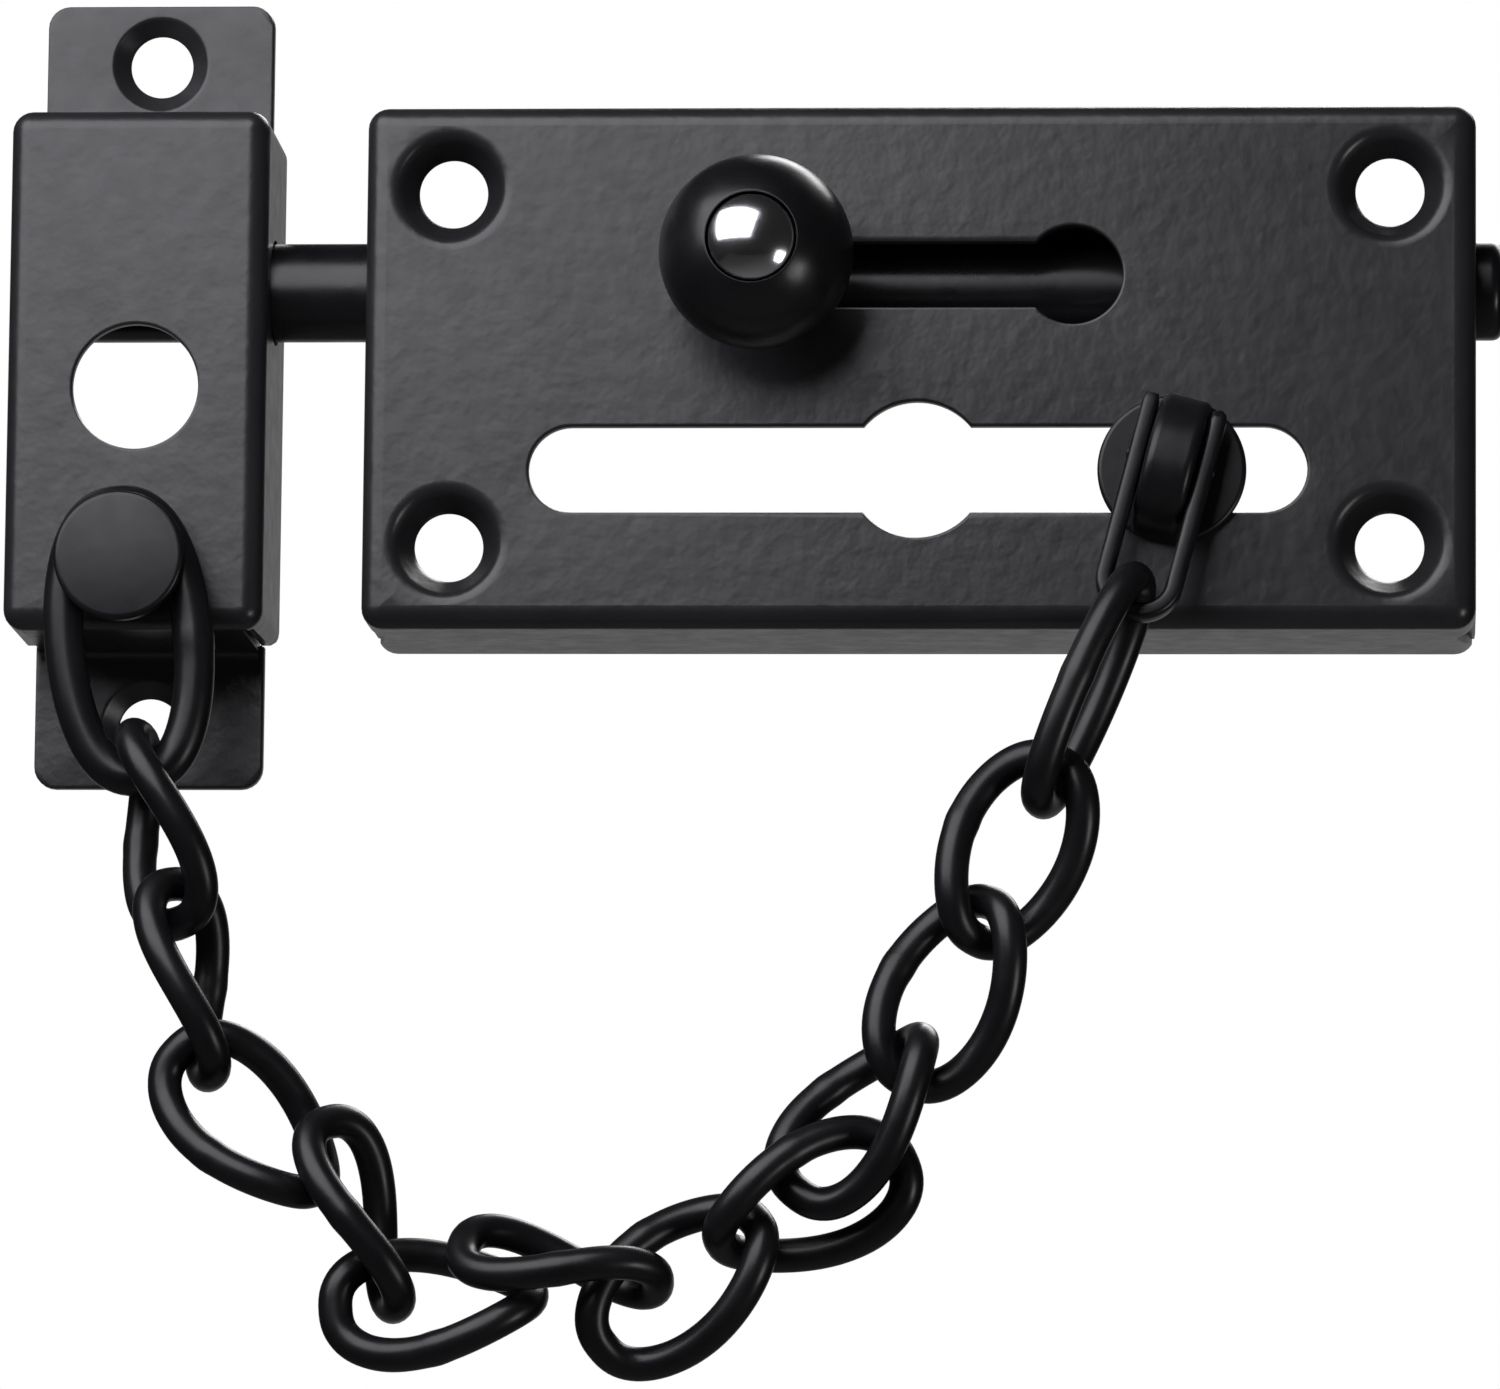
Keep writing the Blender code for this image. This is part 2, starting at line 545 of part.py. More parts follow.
def build_strap():
    along, across = strap_frame()
    centre = Vector((SLIDER_X, STRAP_PIN_Y, SLIDER_Z))
    straight = STRAP_LENGTH - STRAP_HALF
    spots = [(-STRAP_TOP, STRAP_HALF), (0, STRAP_HALF)]
    for k in range(13):
        a = pi * k / 12
        spots.append((straight + STRAP_HALF * sin(a), STRAP_HALF * cos(a)))
    spots += [(0, -STRAP_HALF), (-STRAP_TOP, -STRAP_HALF)]
    points = [centre + along * u + across * v for u, v in spots]
    strap = place("slider_bail", swept(points, STRAP_WIRE, 10, False), centre, "chain_black")
    for side in (-1, 1):
        middle = centre + across * side * STRAP_HALF
        thick = STRAP_WIRE * 0.9
        eye = rod_between(middle - across * thick, middle + across * thick, STRAP_EYE, 20)
        join(strap, f"eye_{'right' if side > 0 else 'left'}", eye)
    cut(strap, "eye_holes", rod_between(centre - across * 6, centre + across * 6, STRAP_PIN + GAP, 12))
    half = STRAP_HALF + STRAP_WIRE + GAP
    pin = rod_between(centre - across * (half + 0.5), centre + across * (half + 0.5), STRAP_PIN, 12)
    pin = place("bail_pin", pin, centre, "zinc_steel")
    for side in (-1, 1):
        start = centre + across * side * half
        head = rod_between(start, start + across * side * 0.8, STRAP_PIN + 0.5, 16)
        join(pin, f"pin_head_{'right' if side > 0 else 'left'}", head)


def link_points(link, middle_y, half_length, half_width, twist):
    """The centre line of an oval link whose plane turns by `twist` degrees from end to end."""
    middle_x, middle_z, lean, roll = link
    along = Vector((sin(radians(lean)), 0, -cos(radians(lean))))
    across = Vector((cos(radians(lean)), 0, sin(radians(lean))))
    middle = Vector((middle_x, middle_y, middle_z))
    points = []
    for k in range(LINK_STEPS):
        a = 2 * pi * (k + 0.5) / LINK_STEPS
        u = half_length * sin(a)
        v = half_width * abs(cos(a)) ** 0.8 * (1 if cos(a) > 0 else -1)
        turn = radians(roll + twist * u / (2 * half_length))
        points.append(middle + along * u + across * v * cos(turn) + Vector((0, v * sin(turn), 0)))
    return points


def crown(link, reach):
    """The point this far down a link from its middle, as (x, z)."""
    x, z, lean, _ = link
    return x + reach * sin(radians(lean)), z - reach * cos(radians(lean))


def build_chain():
    """Every link, with its origin midway between the two crowns that are hooked together."""
    pieces = [("long_link", LONG_LINK, LONG_HALF_LENGTH, LONG_HALF_WIDTH, 0.0, WIRE)]
    for k, link in enumerate(TWISTED_LINKS):
        name = f"link_{len(TWISTED_LINKS) - k:02d}"
        pieces.append((name, link, LINK_HALF_LENGTH, LINK_HALF_WIDTH, LINK_TWIST, WIRE))
    pieces.append(("end_link", END_LINK, END_HALF_LENGTH, END_HALF_WIDTH, 0.0, END_WIRE))
    strap_reach = STRAP_LENGTH * cos(radians(STRAP_TILT))
    hook = crown((SLIDER_X, SLIDER_Z, STRAP_LEAN, 0.0), strap_reach)
    for k, (name, link, half_length, half_width, twist, wire) in enumerate(pieces):
        y = CHAIN_FRONT_Y + (END_LINK_Y - CHAIN_FRONT_Y) * k / (len(pieces) - 1)
        top = crown(link, -half_length)
        pivot = ((hook[0] + top[0]) / 2, y, (hook[1] + top[1]) / 2)
        points = link_points(link, y, half_length, half_width, twist)
        place(name, swept(points, wire, WIRE_SIDES, True), pivot, "chain_black")
        hook = crown(link, half_length)


clear_scene()
build_case()
build_guide()
build_strike()
build_stud()
build_bolt()
build_knob()
build_button()
build_spring()
build_slider()
build_head()
build_strap()
build_chain()
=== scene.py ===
"""Looks for the barrel bolt with a door chain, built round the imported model.

Sizes are in millimetres in the model's own frame and are turned into metres when a mesh is made.
"""

from math import acos, asin, atan2, cos, pi, radians, sin

import bmesh
import bpy
from mathutils import Matrix, Vector


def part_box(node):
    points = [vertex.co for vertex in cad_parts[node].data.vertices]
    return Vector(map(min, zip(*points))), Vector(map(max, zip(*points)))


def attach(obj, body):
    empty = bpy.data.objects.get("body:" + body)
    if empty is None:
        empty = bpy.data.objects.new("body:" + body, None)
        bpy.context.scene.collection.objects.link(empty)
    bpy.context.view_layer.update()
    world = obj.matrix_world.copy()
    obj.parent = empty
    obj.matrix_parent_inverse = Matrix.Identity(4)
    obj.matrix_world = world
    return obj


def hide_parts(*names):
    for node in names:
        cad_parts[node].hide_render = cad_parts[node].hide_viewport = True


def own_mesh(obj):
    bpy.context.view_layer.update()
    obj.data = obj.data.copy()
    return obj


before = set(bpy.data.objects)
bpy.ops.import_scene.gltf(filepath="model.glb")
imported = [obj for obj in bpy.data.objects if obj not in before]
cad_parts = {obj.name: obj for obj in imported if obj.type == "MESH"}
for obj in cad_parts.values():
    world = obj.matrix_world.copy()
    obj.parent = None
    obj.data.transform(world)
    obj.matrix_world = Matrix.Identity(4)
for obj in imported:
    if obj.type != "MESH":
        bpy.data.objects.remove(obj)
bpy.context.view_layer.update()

MM = 0.001
GAP = 0.3  # left between pieces that touch
SHEET = 1.5  # thickness of the case and of the strike box
FOLD = 2.0  # outer radius of a fold
CREASE = 0.3  # inner radius of a fold
EDGE = 0.3  # rounding of a sheared edge under its coat
MIDWAY = 0.3  # where the middle point of such a rounding lies, as a share of its radius
LEAST_CORNER = 0.03  # an outline's corner stays rounded, so that its rings match
SHARP = radians(32.0)  # edges over this angle stay hard

CASE_LOW, CASE_HIGH = (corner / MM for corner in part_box("case_cover"))
ROD_LOW, ROD_HIGH = (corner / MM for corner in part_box("bolt_rod"))

# The case, and the rod guide inside it.
CASE_HALF_X, CASE_HALF_Z = 52.5, 25.0
CASE_SCREW_X, CASE_SCREW_Z, CASE_SCREW_RADIUS = 44.4, 17.0, 3.2
GUIDE_REACH, GUIDE_SHEET, GUIDE_HALF, GUIDE_BACK, GUIDE_LIP = 34.0, 1.2, 6.3, -1.6, 3.7

# The strike box with its two screw flanges, the chain stud and the stud's washer.
STRIKE_X, STRIKE_FRONT, STRIKE_FLAP_END = -74.3, -17.0, -0.5
STRIKE_HALF_X, STRIKE_HALF_Z, STRIKE_WALL_HALF = 12.35, 25.0, 10.5
STRIKE_HOLE_Z, STRIKE_HOLE_RADIUS = -1.8, 6.0
FLANGE_HALF, FLANGE_TOP, FLANGE_CORNER = 11.0, 38.2, 2.1
FLANGE_SCREW_Z, FLANGE_SCREW_RADIUS = 32.4, 3.0
STUD_X, STUD_Z, STUD_RADIUS, STUD_DISC, STUD_POST = -74.6, -19.2, 6.15, 1.6, 2.5
WASHER, WASHER_RADIUS, WASHER_HOLE = 0.8, 4.0, 2.8

# The bolt rod, the ball knob on it and the chrome button in the ball.
ROD_Y, ROD_Z, ROD_RADIUS = -8.7, 8.6, 4.7
ROD_WAY = ROD_RADIUS + 0.35  # radius of the holes that the rod runs through
KNOB_X, KEYHOLE_REACH, KEYHOLE_HALF, KEYHOLE_END = -14.6, 14.6, 3.1, 4.7
BALL_Y, BALL_RADIUS, BALL_FOOT_RADIUS, BALL_SEAT_Y = -29.6, 9.1, 3.6, -32.8
BORE = 2.9  # radius of the hole through the ball and the rod
SEAT_Y, SEAT_RADIUS = -11.4, 4.9  # the flat that is sunk in the rod for the knob's stem
BUTTON_RADIUS, DOME_EDGE_Y, DOME_RISE = 4.1, -37.3, 1.7
SKIRT_Y, HOLLOW_Y, HOLLOW_RADIUS = -35.8, -37.0, 3.2
ROD_LINE, KNOB_LINE = (0, ROD_Y, ROD_Z), (KNOB_X, 0, ROD_Z)  # a place on each one's axis

# The chain slot, and the slider in it with its lobed head and strap.
SLOT_Z, SLOT_HALF, SLOT_END, SLOT_DOOR = -10.0, 4.1, 32.6, 6.5
SLIDER_X, SLIDER_Z, SLIDER_NECK, SLIDER_FOOT = 24.0, -10.2, 3.7, 5.9
HEAD_RADIUS, HEAD_THICK, LOBE_RADIUS, LOBE_HALF = 7.0, 0.9, 6.9, 2.35
STRAP_LEAN, STRAP_TILT, STRAP_PIN_Y = -14.0, 8.0, -22.5
STRAP_SIDE, STRAP_BEND, STRAP_TOP, STRAP_LENGTH = 3.3, 3.1, 6.0, 15.0
STRAP_BAR = (1.15, 0.8)  # half width and half thickness
RIVET_REACH, RIVET_RADIUS, RIVET_HOLE, PIN_HOLE = 4.25, 0.6, 0.65, 0.9

# The chain. Its links step back from the strap to the stud.
CHAIN_FRONT_Y, END_LINK_Y = -24.6, -21.0
WIRE, END_WIRE = 1.6, 1.9
# Half length, half width, twist and wire radius of each kind of link.
LONG_SHAPE = (11.3, 5.3, 0.0, WIRE)
TWISTED_SHAPE = (9.15, 5.5, 65.0, WIRE)
END_SHAPE = (12.9, 6.1, 0.0, END_WIRE)
# Centre X and Z, lean from straight down towards +X, and roll about the link's own length.
LONG_LINK = (16.5, -32.0, -23.0, 78.0)
TWISTED_LINKS = (
    (9.7, -46.9, -23.0, 12.0),
    (3.6, -60.2, -24.0, -12.0),
    (-4.6, -71.8, -38.0, -41.0),
    (-9.0, -79.7, -66.0, 34.0),
    (-21.2, -87.4, -50.0, -8.0),
    (-32.3, -85.6, -100.0, 100.0),
    (-44.1, -89.2, -86.0, 146.0),
    (-50.9, -80.9, -159.0, 103.0),
    (-61.8, -72.1, -135.0, 152.0),
    (-67.3, -58.9, -168.0, 282.0),
    (-70.8, -44.7, -166.0, 246.0),
)
END_LINK = (-73.9, -26.8, -174.0, 0.0)

CAMERA_AT, CAMERA_TARGET = (47.45, -978.08, -170.35), (-16.69, 0.0, -28.86)
CAMERA_ROLL, CAMERA_LENS = 0.577, 248.5
FLOOR_Z, FLOOR_HALF = -900.0, 1600.0


# ---- meshes ----


def piece(name, shape):
    """An object from a bmesh in millimetres, smooth except over sharp edges."""
    bmesh.ops.scale(shape, vec=(MM, MM, MM), verts=shape.verts)
    bmesh.ops.recalc_face_normals(shape, faces=shape.faces)
    mesh = bpy.data.meshes.new(name)
    shape.to_mesh(mesh)
    shape.free()
    mesh.shade_smooth()
    mesh.set_sharp_from_angle(angle=SHARP)
    obj = bpy.data.objects.new(name, mesh)
    bpy.context.scene.collection.objects.link(obj)
    return obj


def carve(obj, steps):
    """Applies (operation, bmesh) steps to an object and leaves plain geometry."""
    tools = []
    for k, (operation, shape) in enumerate(steps):
        tool = piece(f"{obj.name}_tool_{k}", shape)
        modifier = obj.modifiers.new("carve", "BOOLEAN")
        modifier.operation = operation
        modifier.solver = "EXACT"
        modifier.object = tool
        tools.append(tool)
    bake(obj)
    for tool in tools:
        bpy.data.objects.remove(tool, do_unlink=True)
    obj.data.shade_smooth()
    obj.data.set_sharp_from_angle(angle=SHARP)
    return obj


def bake(obj):
    """Makes an object's modifiers part of its mesh."""
    bpy.context.view_layer.update()
    done = obj.evaluated_get(bpy.context.evaluated_depsgraph_get())
    mesh = bpy.data.meshes.new_from_object(done)
    obj.modifiers.clear()
    obj.data = mesh


def weigh_normals(obj):
    """Flat faces keep flat shading up to the folds beside them."""
    modifier = obj.modifiers.new("weighted", "WEIGHTED_NORMAL")
    modifier.keep_sharp = True
    modifier.weight = 80


def block(low, high):
    shape = bmesh.new()
    bmesh.ops.create_cube(shape, size=1.0)
    size = Vector(high) - Vector(low)
    bmesh.ops.scale(shape, vec=size, verts=shape.verts)
    bmesh.ops.translate(shape, vec=Vector(low) + size / 2, verts=shape.verts)
    return shape


def prism(outline, low, high, axis="X"):
    """A prism along X from (y, z) points, or along Z from (x, y) points."""
    shape = bmesh.new()
    near, far = ([shape.verts.new((end, *spot) if axis == "X" else (*spot, end)) for spot in outline]
                 for end in (low, high))
    skin(shape, near, far)
    shape.faces.new(near)
    shape.faces.new(far)
    return shape


def skin(shape, first, second):
    """Faces between two rings of the same count."""
    count = len(first)
    for k in range(count):
        n = (k + 1) % count
        shape.faces.new((first[k], first[n], second[n], second[k]))


def level(shape, outline, y):
    """A ring of vertices at one depth from (x, z) points."""
    return [shape.verts.new((x, y, z)) for x, z in outline]


def fill(shape, loops):
    """A flat face inside the first loop and outside the others."""
    edges = []
    for loop in loops:
        for k, vert in enumerate(loop):
            after = loop[(k + 1) % len(loop)]
            edges.append(shape.edges.get((vert, after)) or shape.edges.new((vert, after)))
    bmesh.ops.triangle_fill(shape, edges=edges, use_beauty=True)


def softened(points, steps=4):
    """Corner points (a, b, reach) as a line that rounds each corner from `reach` before to after it."""
    path = []
    for i, (a, b, reach) in enumerate(points):
        here = Vector((a, b))
        if not reach:
            path.append(here)
            continue
        before = Vector(points[i - 1][:2]) - here
        after = Vector(points[(i + 1) % len(points)][:2]) - here
        start = here + before.normalized() * min(reach, before.length / 2)
        end = here + after.normalized() * min(reach, after.length / 2)
        for k in range(steps + 1):
            t = k / steps
            path.append(start * (1 - t) ** 2 + here * 2 * t * (1 - t) + end * t**2)
    return path


def pairs_of(rings, closed=False):
    """Each ring with the next, and the last one with the first where they close."""
    return list(zip(rings, rings[1:])) + ([(rings[-1], rings[0])] if closed else [])


def lathe(points, centre, axis="Y", sides=72, closed=False, steps=4):
    """A solid of revolution from (along, radius, reach) points. An open line starts and ends on the
    axis."""
    shape = bmesh.new()

    def vertex(along, u, v):
        spot = (along, u, v) if axis == "X" else (v, along, u)
        return shape.verts.new(Vector(spot) + Vector(centre))

    rings = []
    for along, radius in softened(points, steps):
        if radius < 1e-6:
            rings.append([vertex(along, 0.0, 0.0)])
        else:
            turns = (2 * pi * k / sides for k in range(sides))
            rings.append([vertex(along, radius * cos(a), radius * sin(a)) for a in turns])
    for first, second in pairs_of(rings, closed):
        if len(first) == len(second) == 1:
            continue
        if len(first) == 1 or len(second) == 1:
            pole, ring = (first[0], second) if len(first) == 1 else (second[0], first)
            for k in range(sides):
                shape.faces.new((pole, ring[k], ring[(k + 1) % sides]))
        else:
            skin(shape, first, second)
    return shape


def cylinder(start, end, radius, centre, axis="Y", sides=64):
    """A plain round bar from one place along the axis to another."""
    return lathe(((start, 0, 0), (start, radius, 0), (end, radius, 0), (end, 0, 0)), centre, axis, sides)


def arc(centre, radius, start, end, steps):
    """Points along an arc, from one angle to another in radians."""
    turns = (start + (end - start) * k / steps for k in range(steps + 1))
    return [(centre[0] + radius * cos(a), centre[1] + radius * sin(a)) for a in turns]


def corners(low, high, radii, steps=6):
    """A rectangle in X and Z with a radius for each corner, anticlockwise from +X +Z."""
    spots = ((high[0], high[1], 1, 1), (low[0], high[1], -1, 1), (low[0], low[1], -1, -1),
             (high[0], low[1], 1, -1))
    outline = []
    for k, (x, z, sx, sz) in enumerate(spots):
        radius = radii[k]
        centre = (x - sx * radius, z - sz * radius)
        outline += arc(centre, radius, k * pi / 2, (k + 1) * pi / 2, steps)
    return outline


# ---- holes: each gives its outline grown by an amount ----


def round_hole(x, z, radius, steps=64):
    return lambda grow: arc((x, z), radius + grow, 0, 2 * pi * (steps - 1) / steps, steps - 1)


def keyhole(grow):
    half, end = KEYHOLE_HALF + grow, KEYHOLE_END + grow
    meet = asin(half / end)
    return (arc((KEYHOLE_REACH, ROD_Z), end, meet - pi, pi - meet, 48)
            + arc((-KEYHOLE_REACH, ROD_Z), end, meet, 2 * pi - meet, 48))


def chain_slot(grow):
    half, door = SLOT_HALF + grow, SLOT_DOOR + grow
    meet = asin(half / door)
    return (arc((SLOT_END, SLOT_Z), half, -pi / 2, pi / 2, 24)
            + arc((0, SLOT_Z), door, meet, pi - meet, 24)
            + arc((-SLOT_END, SLOT_Z), half, pi / 2, 3 * pi / 2, 24)
            + arc((0, SLOT_Z), door, pi + meet, 2 * pi - meet, 24))


def sheared(front, back):
    """The rounded edge of cut sheet, from its front face to its back one: (offset, y)."""
    middle = EDGE * MIDWAY
    return [(EDGE, front), (middle, front + middle), (0, front + EDGE), (0, back - EDGE),
            (middle, back - middle), (EDGE, back)]


def dimple(front):
    """A screw hole pressed into a dish, whose back stands proud inside the case: (grow, y)."""
    return softened((
        (2.8, front, 0), (2.05, front + 0.12, 0.5), (1.55, front + 0.6, 0.3), (0.2, front + 2.9, 0.3),
        (0, front + 3.5, 0.2), (0.8, front + 3.5, 0.2), (2.3, front + 1.9, 0.3), (2.8, front + 1.5, 0)))


def sheet(outline, profile, holes):
    """Sheet with a flat front and back. The outline takes an inset, the profile leads round its edge
    from front to back as (inset, y), and each hole is an outline and its own (grow, y) profile."""
    shape = bmesh.new()
    fronts, backs = [], []
    for edge, line in ((outline, profile), *holes):
        rings = [level(shape, edge(offset), y) for offset, y in line]
        for first, second in pairs_of(rings):
            skin(shape, first, second)
        fronts.append(rings[0])
        backs.append(rings[-1])
    fill(shape, fronts)
    fill(shape, backs)
    return shape


def tub(low, high, front, back, holes):
    """A folded sheet tub, open at the back, from (x, z) corners."""

    def outline(inset):
        return corners((low[0] + inset, low[1] + inset), (high[0] - inset, high[1] - inset),
                       [max(FOLD - inset, LEAST_CORNER)] * 4)

    bend = (pi * k / 16 for k in range(9))
    profile = [(FOLD * (1 - sin(a)), front + FOLD * (1 - cos(a))) for a in bend]
    lip = sheared(front, back)[3:]
    profile += lip + [(SHEET - inset, y) for inset, y in reversed(lip)]
    inner, middle = front + SHEET, CREASE * MIDWAY
    profile += [(SHEET, inner + CREASE), (SHEET + middle, inner + middle), (SHEET + CREASE, inner)]
    return sheet(outline, profile, holes)


def sweep(points, section, closed=False, bulge=None, across=None):
    """A wire along a line of points. `section` is its (across, out) outline and `bulge` its size along
    the line. The frame is carried along without spinning, and what is left over in a closed loop is
    spread round it."""
    count = len(points)
    alongs = []
    for i, spot in enumerate(points):
        after = points[(i + 1) % count] if closed or i < count - 1 else spot
        before = points[i - 1] if closed or i > 0 else spot
        alongs.append((after - before).normalized())
    across = across or alongs[0].orthogonal().normalized()
    acrosses = [across]
    for before, along in zip(alongs, alongs[1:] + alongs[:1]):
        across = before.rotation_difference(along) @ across
        acrosses.append((across - along * across.dot(along)).normalized())
    left_over = 0.0
    if closed:
        first, last = acrosses[0], acrosses[-1]
        left_over = atan2(alongs[0].dot(first.cross(last)), first.dot(last))
    shape = bmesh.new()
    rings = []
    for i, spot in enumerate(points):
        turn = Matrix.Rotation(-left_over * i / count, 3, alongs[i])
        u = turn @ acrosses[i]
        v = alongs[i].cross(u)
        size = bulge(i / count) if bulge else 1.0
        rings.append([shape.verts.new(spot + (u * a + v * b) * size) for a, b in section])
    for first, second in pairs_of(rings, closed):
        skin(shape, first, second)
    if not closed:
        shape.faces.new(rings[0])
        shape.faces.new(rings[-1])
    return shape


def round_section(radius, sides=22):
    return [(radius * cos(2 * pi * k / sides), radius * sin(2 * pi * k / sides)) for k in range(sides)]


# ---- materials ----


def map_range(nodes, ends, results):
    """A node that maps one range of values to another."""
    node = nodes.new("ShaderNodeMapRange")
    for name, value in zip(("From Min", "From Max", "To Min", "To Max"), (*ends, *results)):
        node.inputs[name].default_value = value
    return node


def coat(name, dark, light, roughness, spread, peel, depth, metallic=0.0, sheen=0.5):
    """A finish with a fine surface ripple, and colour and gloss that vary slowly over it.

    `spread` is how far the roughness varies, `peel` how fine the ripple is, `depth` its height in
    millimetres, and `sheen` how strongly a coat that isn't metal reflects.
    """
    made = bpy.data.materials.new(name)
    made.use_nodes = True
    nodes, links = made.node_tree.nodes, made.node_tree.links
    shader = nodes["Principled BSDF"]
    shader.inputs["Metallic"].default_value = metallic
    shader.inputs["Specular IOR Level"].default_value = sheen
    where = nodes.new("ShaderNodeTexCoord")

    def noise(scale, detail):
        texture = nodes.new("ShaderNodeTexNoise")
        texture.inputs["Scale"].default_value = scale
        texture.inputs["Detail"].default_value = detail
        links.new(where.outputs["Object"], texture.inputs["Vector"])
        return texture.outputs["Fac"]

    clouds, cloud_detail = 95.0, 5.0
    ramp = nodes.new("ShaderNodeValToRGB")
    for element, position, colour in zip(ramp.color_ramp.elements, (0.35, 0.68), (dark, light)):
        element.position = position
        element.color = (*colour, 1.0)
    links.new(noise(clouds, cloud_detail), ramp.inputs["Fac"])
    links.new(ramp.outputs["Color"], shader.inputs["Base Color"])

    smears, smear_detail = 420.0, 3.0
    gloss = map_range(nodes, (0.3, 0.7), (roughness - spread, roughness + spread))
    links.new(noise(smears, smear_detail), gloss.inputs["Value"])
    links.new(gloss.outputs["Result"], shader.inputs["Roughness"])

    ripple = nodes.new("ShaderNodeBump")
    ripple.inputs["Strength"].default_value = 0.35
    ripple.inputs["Distance"].default_value = depth * MM
    links.new(noise(peel, 2.0), ripple.inputs["Height"])
    links.new(ripple.outputs["Normal"], shader.inputs["Normal"])
    return made


FINISHES = {
    "powder_black": coat("powder_coat", (0.016, 0.016, 0.018), (0.020, 0.020, 0.022),
                         roughness=0.33, spread=0.03, peel=500.0, depth=0.17),
    "chain_black": coat("chain_coat", (0.006, 0.006, 0.007), (0.010, 0.010, 0.011),
                        roughness=0.33, spread=0.04, peel=700.0, depth=0.03, sheen=0.36),
    "knob_black": coat("knob_coat", (0.006, 0.006, 0.007), (0.009, 0.009, 0.010),
                       roughness=0.30, spread=0.04, peel=800.0, depth=0.02, sheen=0.40),
    "chrome": coat("polished_chrome", (0.78, 0.78, 0.80), (0.84, 0.84, 0.86),
                   roughness=0.16, spread=0.02, peel=300.0, depth=0.01, metallic=1.0),
    "zinc_steel": coat("zinc_plate", (0.30, 0.30, 0.29), (0.48, 0.48, 0.46),
                       roughness=0.34, spread=0.08, peel=600.0, depth=0.03, metallic=1.0),
}


def fit(obj, body, slot, node):
    """Gives a piece its body and its finish, and hides the CAD node it stands for."""
    obj.data.materials.clear()
    obj.data.materials.append(FINISHES[slot])
    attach(obj, body)
    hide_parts(node)


# ---- case and strike box ----


def relief(side_x, side_z):
    """The cut between a long wall's end and the end wall, from points (in from the end, y)."""
    cut = ((-1.0, -11.4), (1.2, -11.4), (1.75, -10.9), (1.8, -10.2), (1.2, -7.0), (0.6, -3.6),
           (0.25, 0.5), (-1.0, 0.5))
    outline = [(side_x * (CASE_HALF_X - inset), y) for inset, y in cut]
    return prism(outline, side_z * (CASE_HALF_Z - SHEET - 0.02), side_z * (CASE_HALF_Z + 1), "Z")


def build_case():
    front = CASE_LOW.y
    bore = sheared(front, front + SHEET)
    holes = [(keyhole, bore), (chain_slot, bore)]
    for side_x in (-1, 1):
        for side_z in (-1, 1):
            hole = round_hole(side_x * CASE_SCREW_X, side_z * CASE_SCREW_Z, CASE_SCREW_RADIUS)
            holes.append((hole, dimple(front)))
    shell = tub((CASE_LOW.x, CASE_LOW.z), (CASE_HIGH.x, CASE_HIGH.z), front, CASE_HIGH.y, holes)
    case = piece("case_shell", shell)
    way = cylinder(CASE_LOW.x - 3, CASE_HIGH.x + 3, ROD_WAY, ROD_LINE, "X")
    reliefs = [relief(side_x, side_z) for side_x in (-1, 1) for side_z in (-1, 1)]
    carve(case, [("DIFFERENCE", cut) for cut in (way, *reliefs)])
    weigh_normals(case)
    fit(case, "housing", "powder_black", "case_cover")


def build_guide():
    """The folded channel behind the keyhole, from its upper half's (y, z, reach) corners."""
    front, back = CASE_LOW.y + SHEET + GAP, GUIDE_BACK
    inner, lip = GUIDE_HALF - GUIDE_SHEET, GUIDE_HALF + GUIDE_LIP
    upper = [(back - GUIDE_SHEET, inner, 0.5), (front, inner, 1.4), (front, lip, 0.15),
             (front + GUIDE_SHEET, lip, 0.15), (front + GUIDE_SHEET, GUIDE_HALF, 0.3),
             (back, GUIDE_HALF, 1.5)]
    section = upper + [(y, -z, reach) for y, z, reach in reversed(upper)]
    outline = [(point.x, point.y + ROD_Z) for point in softened(section, steps=6)]
    guide = piece("guide_channel", prism(outline, -GUIDE_REACH, GUIDE_REACH))
    fit(guide, "housing", "powder_black", "rod_guide")


def strike_cut(side_x, side_z):
    """The slit between a flap and the wall beside it, and the trim of the flap's own end."""
    wall = STRIKE_X + side_x * STRIKE_WALL_HALF
    inner, outer = sorted((wall, STRIKE_X + side_x * (STRIKE_HALF_X + 1)))
    slit_low, slit_high = sorted((wall, STRIKE_X + side_x * (STRIKE_HALF_X - SHEET)))
    edge = side_z * STRIKE_HALF_Z
    start, end = -14.6, 0.5
    if side_z > 0:
        flap = ((start, edge + 1), (start, edge - 0.6), (-2.0, edge - 1.4), (end, edge - 1.8),
                (end, edge + 1))
    else:
        flap = ((start, edge - 1), (start, edge + 0.3), (-2.2, edge + 0.5), (-1.0, edge + 1.0),
                (end, edge + 2.4), (end, edge - 1))
    slit = ((start - 0.6, edge + side_z), (start - 0.6, edge - side_z * 0.4),
            (start, edge - side_z * 1.52), (end, edge - side_z * 1.52), (end, edge + side_z))
    return [("DIFFERENCE", prism(flap, inner, outer)), ("DIFFERENCE", prism(slit, slit_low, slit_high))]


